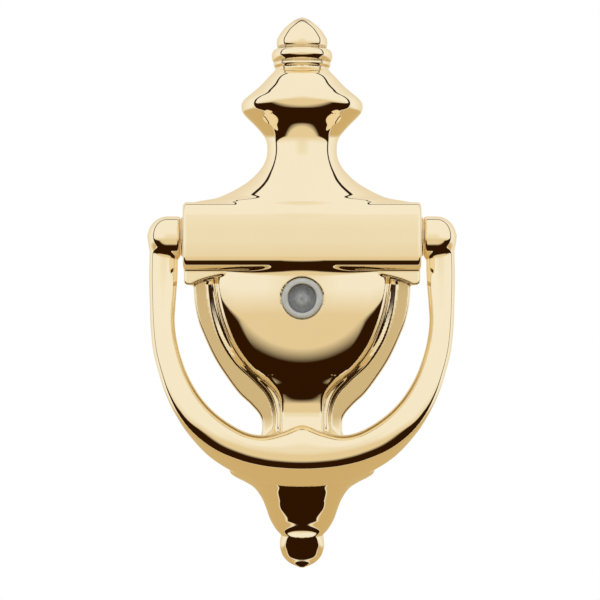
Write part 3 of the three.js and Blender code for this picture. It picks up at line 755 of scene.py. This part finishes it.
def viewer_flange_field(x, y, z):
    radius, aperture, bore = 11.0, 3.4, 4.3
    z = z - VIEWER_Z
    distance = np.hypot(x, z)
    body = rounded_corner(0.7, distance - radius, y - FLANGE_FACE)
    body = np.maximum(body, DOOR - y)
    body = smooth_max(body, aperture - distance, 0.3)
    body = np.maximum(body, -np.maximum(distance - bore, y - 45.4))
    notch = rounded_corner(0.2, np.abs(np.abs(x) - radius) - 1.6, np.abs(z) - 1.5, DOOR + 0.8 - y)
    ring = 0.25 - np.hypot(distance - 9.4, y - FLANGE_FACE)
    rivet = np.hypot(x, z - 8) - 1.5
    cuts = np.minimum(np.minimum(notch, -ring), rivet)
    return smooth_max(body, -cuts, 0.15)


def cover_field(x, y, z):
    radius, ear, pivot, back, thick = 5.8, 2.8, 8.0, FLANGE_FACE + GAP, 1.2
    z = z - VIEWER_Z
    disc = np.hypot(x, z) - radius
    top = np.hypot(x, z - pivot) - ear
    neck = np.maximum(np.abs(x) - 2.5, np.abs(z - pivot / 2) - pivot / 2)
    outline = smooth_min(np.minimum(disc, neck), top, 0.6)
    plate = rounded_corner(0.3, outline, np.abs(y - back - thick / 2) - thick / 2)
    lip = box_field(x, y, z, (-2, back + 0.5, 0.6 - radius), (2, FLANGE_FACE + 3.1, 1.8 - radius), 0.3)
    dish = 0.25 - np.hypot(np.hypot(x, z) - 4.6, y - back - thick)
    hole = np.hypot(x, z - pivot) - 1.5
    return smooth_max(smooth_min(plate, lip, 0.5), -np.minimum(hole, -dish), 0.15)


def cover_rivet(name):
    radius, head, under, start = 1.2, 2.5, FLANGE_FACE + 2 * GAP + 1.2, DOOR + 0.3
    quarter = np.linspace(0, math.pi / 2, 9)
    dome = [(head * math.cos(a), under + 0.25 + 0.75 * math.sin(a)) for a in quarter]
    points = [(0, start), (radius, start), (radius, under), (head, under), *dome[:-1], (0, under + 1)]
    return lathe(name, points, (0, VIEWER_Z + 8), soft=0.08)


def dished(r, depth, edge, steps=10):
    """Points of a shallow curve from the axis out to the radius."""
    return [(r * t, edge + depth * (1 - t * t)) for t in np.linspace(0, 1, steps)]


def viewer_lens(name, front, back, bulge_front, bulge_back, clear=4.1, rim=5.1):
    outward = [*dished(clear, bulge_front, front), (rim, front), (rim, back)]
    return lathe(name, [*outward, *dished(clear, bulge_back, back)[::-1]], VIEWER, soft=0.05)


# ---- Materials ------------------------------------------------------------------------------


class Nodes:
    """Short ways to add shader nodes to one material."""

    def __init__(self, name):
        self.material = bpy.data.materials.new(name)
        self.material.use_nodes = True
        self.tree = self.material.node_tree
        self.shader = self.tree.nodes["Principled BSDF"]
        self.object_space = self.add("ShaderNodeTexCoord").outputs["Object"]

    def add(self, kind, **settings):
        node = self.tree.nodes.new(kind)
        for key, value in settings.items():
            setattr(node, key, value)
        return node

    def link(self, out, socket):
        self.tree.links.new(out, socket)

    def noise(self, scale, detail=3.0, roughness=0.5, stretch=None):
        vector = self.object_space
        if stretch:
            mapping = self.add("ShaderNodeMapping")
            mapping.inputs["Scale"].default_value = stretch
            self.link(vector, mapping.inputs["Vector"])
            vector = mapping.outputs["Vector"]
        node = self.add("ShaderNodeTexNoise")
        node.inputs["Scale"].default_value = scale
        node.inputs["Detail"].default_value = detail
        node.inputs["Roughness"].default_value = roughness
        self.link(vector, node.inputs["Vector"])
        return node.outputs["Fac"]

    def spread(self, value, low, high, start=0.0, end=1.0):
        node = self.add("ShaderNodeMapRange")
        limits = {"From Min": start, "From Max": end, "To Min": low, "To Max": high}
        for socket, number in limits.items():
            node.inputs[socket].default_value = number
        self.link(value, node.inputs["Value"])
        return node.outputs["Result"]

    def mix(self, factor, first, second):
        node = self.add("ShaderNodeMix", data_type="RGBA")
        self.link(factor, node.inputs["Factor"])
        for socket, value in ((node.inputs[6], first), (node.inputs[7], second)):
            if isinstance(value, tuple):
                socket.default_value = (*value, 1)
            else:
                self.link(value, socket)
        return node.outputs[2]

    def blend(self, factor, first, second):
        node = self.add("ShaderNodeMix", data_type="FLOAT")
        self.link(factor, node.inputs["Factor"])
        for socket, value in ((node.inputs[2], first), (node.inputs[3], second)):
            if isinstance(value, (int, float)):
                socket.default_value = value
            else:
                self.link(value, socket)
        return node.outputs[0]

    def bump(self, height, strength, distance):
        node = self.add("ShaderNodeBump")
        node.inputs["Strength"].default_value = strength
        node.inputs["Distance"].default_value = distance
        self.link(height, node.inputs["Height"])
        self.link(node.outputs["Normal"], self.shader.inputs["Normal"])


def polished_brass():
    """Mirror brass, darkened in its crevices by tarnish and painted shade, brushed on the ledge and as
    cast on the back.
    """
    n = Nodes("polished_brass")
    masks = [n.add("ShaderNodeAttribute", attribute_name=key) for key in ("crevice_tarnish_and_shade", "raw", "satin")]
    crevice_tarnish_and_shade, raw, satin = (mask.outputs["Fac"] for mask in masks)
    tone = n.mix(n.noise(60, 2), (0.915, 0.785, 0.55), (0.94, 0.815, 0.58))
    ledge = n.mix(satin, tone, (0.7, 0.53, 0.28))
    # Painted shade and tarnish: the brass darkens to brown deep in crevices and hollows.
    tarnished_and_shaded = n.mix(n.spread(crevice_tarnish_and_shade, 0, 0.35, 0.35, 1), ledge, (0.42, 0.23, 0.07))
    cast = n.mix(n.noise(700, 4), (0.5, 0.34, 0.15), (0.62, 0.45, 0.22))
    n.link(n.mix(raw, tarnished_and_shaded, cast), n.shader.inputs["Base Color"])
    n.shader.inputs["Metallic"].default_value = 1
    wiped = n.spread(n.noise(900, 5, 0.6, (1, 1, 0.25)), 0.02, 0.045, 0.35, 0.7)
    brushed = n.blend(satin, wiped, 0.24)
    dull = n.blend(n.spread(crevice_tarnish_and_shade, 0, 0.5, 0.4, 1), brushed, 0.3)
    n.link(n.blend(raw, dull, 0.55), n.shader.inputs["Roughness"])
    sand = n.blend(raw, n.spread(n.noise(2600, 2, 0.5, (1, 1, 0.15)), 0.49, 0.51), n.noise(1500, 3))
    n.bump(sand, 0.25, 0.00008)
    return n.material


def machined(name, dark, light, roughness, rings=5200):
    """Turned metal with fine lathe marks around its own axis."""
    n = Nodes(name)
    n.link(n.mix(n.noise(350, 3), dark, light), n.shader.inputs["Base Color"])
    n.shader.inputs["Metallic"].default_value = 1
    marks = n.noise(rings, 2, 0.5, (1, 0.08, 1))
    n.link(n.spread(marks, roughness * 0.75, roughness * 1.3, 0.3, 0.7), n.shader.inputs["Roughness"])
    n.bump(marks, 0.3, 0.00003)
    return n.material


def lens_glass(clear):
    """Coated glass with the faint rings of a wide-angle lens round the viewer's axis."""
    n = Nodes("lens_glass" if clear > 0.5 else "coated_lens_glass")
    split = n.add("ShaderNodeSeparateXYZ")
    n.link(n.object_space, split.inputs[0])
    centred = n.add("ShaderNodeMath", operation="SUBTRACT")
    n.link(split.outputs["Z"], centred.inputs[0])
    centred.inputs[1].default_value = VIEWER_Z * MM
    flat = n.add("ShaderNodeCombineXYZ")
    n.link(split.outputs["X"], flat.inputs["X"])
    n.link(centred.outputs[0], flat.inputs["Y"])
    rings = n.add("ShaderNodeTexWave", wave_type="RINGS", rings_direction="SPHERICAL")
    rings.inputs["Scale"].default_value = 120
    rings.inputs["Distortion"].default_value = 0.4
    n.link(flat.outputs[0], rings.inputs["Vector"])
    cloud = n.spread(n.noise(900, 3), 0, 1, 0.35, 0.65)
    tone = n.mix(rings.outputs["Fac"], (0.2, 0.21, 0.22), (0.5, 0.51, 0.52))
    n.link(n.mix(cloud, tone, (0.36, 0.37, 0.38)), n.shader.inputs["Base Color"])
    n.shader.inputs["Transmission Weight"].default_value = clear
    n.shader.inputs["IOR"].default_value = 1.52
    n.link(n.spread(rings.outputs["Fac"], 0.04, 0.16), n.shader.inputs["Roughness"])
    n.bump(rings.outputs["Fac"], 0.15, 0.0001)
    return n.material


brass = polished_brass()
plain_brass = machined("turned_brass", (0.68, 0.48, 0.23), (0.78, 0.58, 0.32), 0.3)
chrome = machined("satin_chrome", (0.52, 0.53, 0.54), (0.62, 0.63, 0.64), 0.22)
worn_chrome = machined("worn_chrome", (0.4, 0.405, 0.395), (0.62, 0.625, 0.61), 0.35)
steel = machined("ground_steel", (0.4, 0.4, 0.41), (0.52, 0.52, 0.53), 0.3)
black_steel = machined("blackened_steel", (0.025, 0.025, 0.027), (0.05, 0.05, 0.052), 0.45)
glass = lens_glass(0.9)
coated_glass = lens_glass(0.25)

# ---- Build ----------------------------------------------------------------------------------

add_piece("plate_casting", "back_plate", "plate", brass, build_plate())
bail_piece = add_piece("bail_casting", "bail", "bail", brass, build_bail())
bail_piece.visible_glossy = False  # the bowl mirrors the studio rather than the ring in front of it

for side, place in ((1, "right"), (-1, "left")):
    pin, washer, screw = f"pin_{place}", f"washer_{place}", f"set_screw_{place}"
    add_piece(pin, f"hinge_pin_{place}", "plate", steel, hinge_pin(pin, side))
    add_piece(washer, f"hinge_washer_{place}", "plate", plain_brass, hinge_washer(washer, side))
    middle = side * SET_SCREW_X
    low, high = (middle - 2.2, -11.4, -2.2), (middle + 2.2, -7.6, 2.2)
    add_piece(screw, f"hinge_set_screw_{place}", "plate", black_steel,
              field_piece(screw, set_screw_field(side), low, high))

add_piece("button", "strike_button", "plate", plain_brass, strike_button("button"))

for place, height in SCREW_HEIGHTS.items():
    shaft, head, cup = f"screw_shaft_{place}", f"screw_head_{place}", f"cup_{place}"
    add_piece(shaft, f"fixing_screw_{place}", "plate", plain_brass, screw_shaft(shaft, height))
    low, high = (-4.8, SCREW["neck"] - 0.2, height - 4.8), (4.8, SCREW_RIM + 2, height + 4.8)
    add_piece(head, f"fixing_screw_{place}", "plate", plain_brass,
              field_piece(head, screw_head_field(height), low, high))
    add_piece(cup, f"finish_washer_{place}", "plate", plain_brass, finish_washer(cup, height))

add_piece("viewer_front", "viewer_outer_tube", "plate", worn_chrome, viewer_outer_tube("viewer_front"))
add_piece("viewer_barrel", "viewer_inner_tube", "plate", chrome, viewer_inner_barrel("viewer_barrel"))
add_piece("viewer_room_flange", "viewer_inner_tube", "plate", chrome,
          field_piece("viewer_room_flange", viewer_flange_field, (-11.2, DOOR - 0.2, VIEWER_Z - 11.2),
                      (11.2, FLANGE_FACE + 0.2, VIEWER_Z + 11.2)))
add_piece("viewer_swing_cover", "viewer_cover", "cover", chrome,
          field_piece("viewer_swing_cover", cover_field, (-6, FLANGE_FACE + 0.1, VIEWER_Z - 6),
                      (6, FLANGE_FACE + 3.3, VIEWER_Z + 11)))
add_piece("rivet", "viewer_cover_rivet", "plate", plain_brass, cover_rivet("rivet"))
add_piece("lens_objective", "viewer_objective_lens", "plate", coated_glass,
          viewer_lens("lens_objective", -23.1, -20.6, -1.4, -1.4))
add_piece("lens_middle", "viewer_middle_lens", "plate", glass,
          viewer_lens("lens_middle", -16, -13.2, 0.8, -0.8, 3.8))
add_piece("lens_rear", "viewer_rear_lens", "plate", glass,
          viewer_lens("lens_rear", -8.6, -5.6, 0.8, -0.8, 3.8))
add_piece("lens_eyepiece", "viewer_eyepiece_lens", "plate", glass,
          viewer_lens("lens_eyepiece", 43.1, 45.1, -1, 0.6, 3.4, 4))

for name in ("viewer_front_spacer", "viewer_rear_spacer", "viewer_clamp_ring", "viewer_eyepiece_ring"):
    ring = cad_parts[name]
    ring.data.materials.clear()
    ring.data.materials.append(black_steel)

# ---- Stage, light and camera ----------------------------------------------------------------

CREAM = (0.99, 1.0, 0.99)
SOFT = (0.92, 0.885, 0.775)
WARM = (0.84, 0.73, 0.52)
TAN = (0.66, 0.5, 0.25)
DARK = (0.028, 0.009, 0.001)
RIM = (1, 0.95, 0.85)
# Angles are degrees from the direction that the knocker faces. Each pair is the value for light from
# above, and how much it grows towards the light from below.
SHADE_START = (84.5, -40)
SHADE_FADE = (1.2, 9)
SHADE_END = (90.3, -2)
SHADE_LIFT = 27.0  # how much later the shade comes straight above
SHADE_LOWEST = 7.0  # how much earlier it comes straight below, beyond the growth
FALL = (-0.04, -0.5)  # rise at which the light from below begins and is complete

FLOOR_RADIUS = 0.4
FLOOR_Z = -0.205
CAMERA_DISTANCE = 0.75
CAMERA_AIM = (-0.0007, -0.0216)
FRAME_WIDTH = 0.2059  # what the camera spans at the depth of the outlines
OUTLINE_DEPTH = 0.012
SENSOR = 36


def build_world():
    """Soft light from the front and above, a band of shade, and a warm room behind and below."""
    world = bpy.data.worlds.new("studio")
    bpy.context.scene.world = world
    world.use_nodes = True
    tree = world.node_tree
    nodes, links = tree.nodes, tree.links
    nodes.clear()

    def feed(socket, value):
        if isinstance(value, tuple):
            socket.default_value = (*value, 1)
        elif isinstance(value, (int, float)):
            socket.default_value = value
        else:
            links.new(value, socket)

    def calculate(operation, *values, clamp=False):
        node = nodes.new("ShaderNodeMath")
        node.operation = operation
        node.use_clamp = clamp
        for socket, value in zip(node.inputs, values):
            feed(socket, value)
        return node.outputs[0]

    def mix_colours(factor, first, second):
        node = nodes.new("ShaderNodeMix")
        node.data_type = "RGBA"
        links.new(factor, node.inputs["Factor"])
        feed(node.inputs[6], first)
        feed(node.inputs[7], second)
        return node.outputs[2]

    def line(value, start, slope):
        """start + slope * value"""
        return calculate("ADD", calculate("MULTIPLY", value, slope), start)

    def edge(value, place, width):
        """0 before the place and 1 a width after it."""
        return calculate("DIVIDE", calculate("SUBTRACT", value, place), width, clamp=True)

    direction = nodes.new("ShaderNodeSeparateXYZ")
    links.new(nodes.new("ShaderNodeTexCoord").outputs["Generated"], direction.inputs[0])
    x, y, z = direction.outputs
    angle = calculate("MULTIPLY", calculate("ARCCOSINE", calculate("MULTIPLY", y, -1)), 180 / math.pi)
    across = calculate("SQRT", calculate("ADD", calculate("MULTIPLY", x, x), calculate("MULTIPLY", z, z)))
    rise = calculate("DIVIDE", z, calculate("MAXIMUM", across, 0.001))
    lift = calculate("MULTIPLY", calculate("POWER", calculate("MAXIMUM", rise, 0), 2), SHADE_LIFT)
    raised = calculate("SUBTRACT", angle, lift)
    falling = nodes.new("ShaderNodeMapRange")
    falling.interpolation_type = "SMOOTHSTEP"
    falling.inputs["From Min"].default_value, falling.inputs["From Max"].default_value = FALL
    links.new(rise, falling.inputs["Value"])
    down = falling.outputs["Result"]

    front = mix_colours(edge(angle, 6, 18), SOFT, CREAM)
    front = mix_colours(calculate("MULTIPLY", line(z, 0.02, 1), -3.6, clamp=True), front, WARM)
    lowest = calculate("MULTIPLY", calculate("MINIMUM", line(rise, 0.5, 1), 0), SHADE_LOWEST)
    shade_start = calculate("ADD", line(down, *SHADE_START), lowest)
    shaded = mix_colours(edge(raised, shade_start, line(down, *SHADE_FADE)), front, DARK)
    room = mix_colours(edge(angle, 105, 60), CREAM, WARM)
    room = mix_colours(calculate("MULTIPLY", line(down, -1, 2), 1, clamp=True), room, TAN)
    past = calculate("SUBTRACT", raised, line(down, *SHADE_END))
    behind = mix_colours(edge(past, 1.5, 2.5), mix_colours(down, CREAM, RIM), room)

    lit = nodes.new("ShaderNodeBackground")
    links.new(mix_colours(edge(past, 0, 1.2), shaded, behind), lit.inputs["Color"])
    white = nodes.new("ShaderNodeBackground")
    white.inputs["Color"].default_value = (1, 1, 1, 1)
    seen = nodes.new("ShaderNodeLightPath")
    choose = nodes.new("ShaderNodeMixShader")
    links.new(seen.outputs["Is Camera Ray"], choose.inputs[0])
    links.new(lit.outputs[0], choose.inputs[1])
    links.new(white.outputs[0], choose.inputs[2])
    links.new(choose.outputs[0], nodes.new("ShaderNodeOutputWorld").inputs["Surface"])


def build_floor():
    """A pale disc below the knocker."""
    n = Nodes("pale_floor")
    n.link(n.mix(n.noise(30, 2), (0.86, 0.86, 0.86), (0.9, 0.9, 0.9)), n.shader.inputs["Base Color"])
    n.shader.inputs["Roughness"].default_value = 0.7
    mesh = bpy.data.meshes.new("floor")
    turns = np.linspace(0, 2 * math.pi, 97)[:-1]
    ring = [(FLOOR_RADIUS * math.cos(a), FLOOR_RADIUS * math.sin(a), FLOOR_Z) for a in turns]
    mesh.from_pydata(ring, [], [list(range(len(ring)))])
    mesh.materials.append(n.material)
    floor = bpy.data.objects.new("floor", mesh)
    bpy.context.scene.collection.objects.link(floor)
    floor.visible_glossy = False
    floor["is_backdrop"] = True


def build_camera():
    """A camera square in front of the knocker."""
    data = bpy.data.cameras.new("camera")
    data.sensor_width = SENSOR
    data.lens = SENSOR * (CAMERA_DISTANCE - OUTLINE_DEPTH) / FRAME_WIDTH
    camera = bpy.data.objects.new("camera", data)
    camera.location = (CAMERA_AIM[0], -CAMERA_DISTANCE, CAMERA_AIM[1])
    camera.rotation_euler = (math.pi / 2, 0, 0)
    bpy.context.scene.collection.objects.link(camera)
    bpy.context.scene.camera = camera


build_world()
build_floor()
build_camera()
bpy.context.scene.view_settings.view_transform = "Standard"

plain = [[[float(v) for v in corner] for corner in box] for box in (cad_box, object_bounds())]
